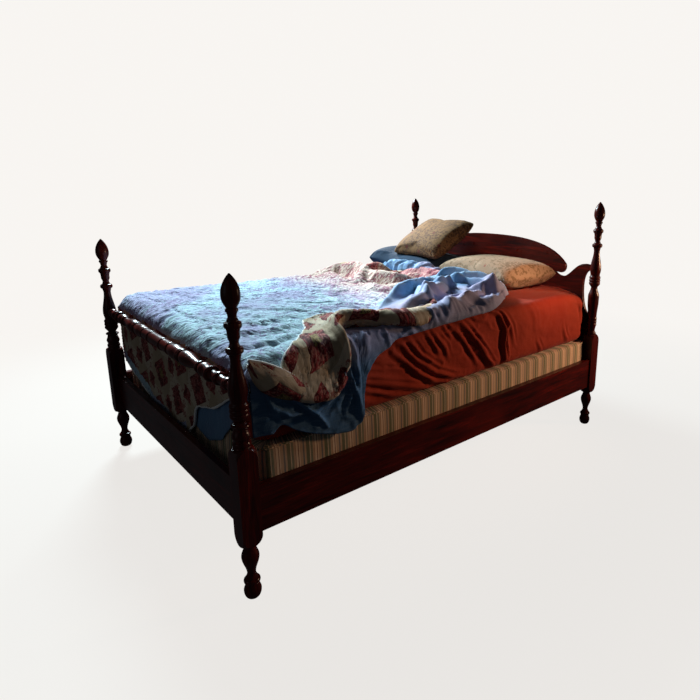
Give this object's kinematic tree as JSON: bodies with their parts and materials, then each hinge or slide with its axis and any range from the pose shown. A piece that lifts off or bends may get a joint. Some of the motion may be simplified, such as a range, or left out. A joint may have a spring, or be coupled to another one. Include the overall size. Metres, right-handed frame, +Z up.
{
  "type": "rope bed",
  "caption": "Low-post wooden bed with turned posts, scrolled headboard, turned blanket rail, hooked side rails, slats, box spring, mattress, sheets, quilt and pillows.",
  "frame": {"origin": "on the floor, midway between the four posts", "axes": "+X to the right as seen from the foot of the bed, +Y toward the headboard, +Z up"},
  "size_m": [1.484, 2.026, 1.214],
  "materials": {
    "dark_wood": "gloss varnish over a red mahogany stain",
    "pale_timber": "sawn softwood, unfinished",
    "fitting_steel": "zinc plated",
    "white_padding": "felt and quilted cotton",
    "striped_ticking": "woven ticking with thin coloured stripes",
    "rust_sheet": "plain cotton",
    "blue_sheet": "plain cotton",
    "floral_quilt": "quilted printed cotton with a white piped edge",
    "dark_blue_case": "plain cotton",
    "khaki_floral_case": "printed cotton",
    "cream_floral_case": "printed cotton"
  },
  "bodies": {
    "bedstead": {"foot_post_left": "dark_wood", "foot_post_right": "dark_wood", "head_post_left": "dark_wood", "head_post_right": "dark_wood", "foot_finial_left": "dark_wood", "foot_finial_right": "dark_wood", "head_finial_left": "dark_wood", "head_finial_right": "dark_wood", "headboard": "dark_wood", "head_rail": "dark_wood", "foot_rail": "dark_wood", "blanket_rail": "dark_wood", "side_rail_left": "dark_wood", "side_rail_right": "dark_wood", "ledger_left": "pale_timber", "ledger_right": "pale_timber", "slat_1": "pale_timber", "slat_2": "pale_timber", "slat_3": "pale_timber", "slat_4": "pale_timber", "slat_5": "pale_timber", "hook_plates": "fitting_steel", "hook_pins": "fitting_steel", "ledger_screws": "fitting_steel"},
    "box_spring": {"box_spring_frame": "pale_timber", "box_spring_deck": "pale_timber", "box_spring_pad": "white_padding", "box_spring_cover": "striped_ticking", "box_spring_piping": "striped_ticking"},
    "mattress": {"mattress_core": "white_padding", "mattress_cover": "white_padding", "fitted_sheet": "rust_sheet"},
    "bedding": {"flat_sheet": "blue_sheet", "quilt": "floral_quilt"},
    "lower_pillow": {"pillow_blue": "dark_blue_case"},
    "propped_pillow": {"pillow_khaki": "khaki_floral_case"},
    "right_pillow": {"pillow_cream": "cream_floral_case"}
  },
  "joints": [
    {"name": "box_spring_lift", "type": "slide", "parent": "bedstead", "child": "box_spring", "axis": [0, 0, 1], "range_m": [0, 1]},
    {"name": "mattress_lift", "type": "slide", "parent": "box_spring", "child": "mattress", "axis": [0, 0, 1], "range_m": [0, 0.8]},
    {"name": "bedding_lift", "type": "slide", "parent": "mattress", "child": "bedding", "axis": [0, 0, 1], "range_m": [0, 0.9]},
    {"name": "pillow_blue_lift", "type": "slide", "parent": "mattress", "child": "lower_pillow", "axis": [0, 0, 1], "range_m": [0, 0.5]},
    {"name": "pillow_khaki_lift", "type": "slide", "parent": "lower_pillow", "child": "propped_pillow", "axis": [0, 0, 1], "range_m": [0, 0.5]},
    {"name": "pillow_cream_lift", "type": "slide", "parent": "mattress", "child": "right_pillow", "axis": [0, 0, 1], "range_m": [0, 0.5]}
  ]
}
